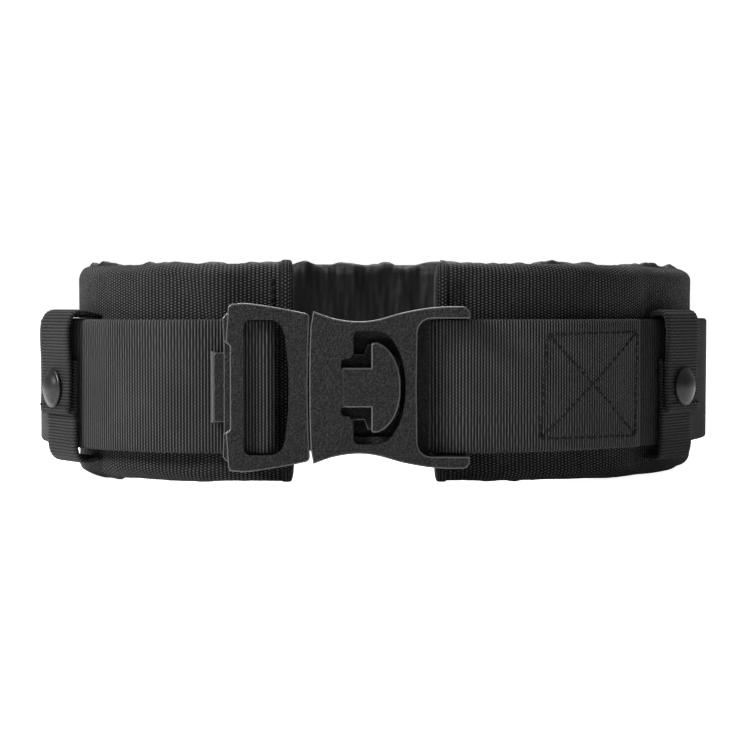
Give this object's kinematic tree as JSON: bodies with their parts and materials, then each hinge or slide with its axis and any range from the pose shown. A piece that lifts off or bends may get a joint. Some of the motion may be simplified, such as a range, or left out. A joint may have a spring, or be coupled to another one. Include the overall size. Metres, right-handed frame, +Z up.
{
  "type": "padded weight belt",
  "caption": "Foam-padded waist belt with ribbed webbing held by press-stud keepers and a centre-release buckle with a ladder adjuster.",
  "frame": {"origin": "under the middle of the belt's bounding box, on the plane that the pad's lower edge stands on", "axes": "+X to the right of someone facing the buckle, -Y towards that person, +Z up along the wearer"},
  "size_m": [0.2768, 0.213, 0.0855],
  "materials": {
    "ballistic_nylon": "black basket-weave ballistic nylon, matte",
    "lining_nylon": "black smooth nylon with a soft sheen",
    "foam": "closed-cell foam, matte",
    "webbing": "black ribbed nylon webbing, matte",
    "buckle_plastic": "black moulded plastic with a fine grain",
    "snap_metal": "blackened brass, satin"
  },
  "bodies": {
    "belt": {"pad_outer_cover": "ballistic_nylon", "pad_inner_lining": "lining_nylon", "pad_foam_core": "foam", "pad_end_fold_left": "ballistic_nylon", "pad_end_fold_right": "ballistic_nylon", "main_webbing": "webbing", "webbing_tail": "webbing", "female_housing": "buckle_plastic", "left_keeper_band": "webbing", "left_snap_stud": "snap_metal", "left_snap_post": "snap_metal", "right_keeper_band": "webbing", "right_snap_stud": "snap_metal", "right_snap_post": "snap_metal", "rear_loop_left": "webbing", "rear_loop_right": "webbing"},
    "male_half": {"male_frame": "buckle_plastic", "adjuster_webbing_wrap": "webbing"},
    "latch": {"latch_tongue": "buckle_plastic"},
    "tab": {"release_tab": "buckle_plastic"},
    "left_flap": {"left_keeper_flap": "webbing", "left_snap_cap": "snap_metal", "left_snap_socket": "snap_metal"},
    "right_flap": {"right_keeper_flap": "webbing", "right_snap_cap": "snap_metal", "right_snap_socket": "snap_metal"}
  },
  "joints": [
    {"name": "buckle_slide", "type": "slide", "parent": "belt", "child": "male_half", "axis": [-1, 0, 0], "range_m": [0, 0.034]},
    {"name": "tab_press", "type": "hinge", "parent": "belt", "child": "tab", "pos_m": [-0.012, -0.10515, 0.0367], "axis": [0, 0, 1], "range_deg": [0, 6]},
    {"name": "latch_flex", "type": "hinge", "parent": "male_half", "child": "latch", "pos_m": [-0.027, -0.1003, 0.0367], "axis": [0, 0, 1], "range_deg": [0, 2]},
    {"name": "left_flap_hinge", "type": "hinge", "parent": "belt", "child": "left_flap", "pos_m": [-0.11311, -0.05622, 0.0634], "axis": [-0.5517, 0.834, 0], "range_deg": [0, 75]},
    {"name": "right_flap_hinge", "type": "hinge", "parent": "belt", "child": "right_flap", "pos_m": [0.11478, -0.04131, 0.0634], "axis": [-0.6114, -0.7913, 0], "range_deg": [0, 75]}
  ],
  "couplings": [
    {"joint": "latch_flex", "follows": "tab_press", "ratio": 0.33333}
  ]
}
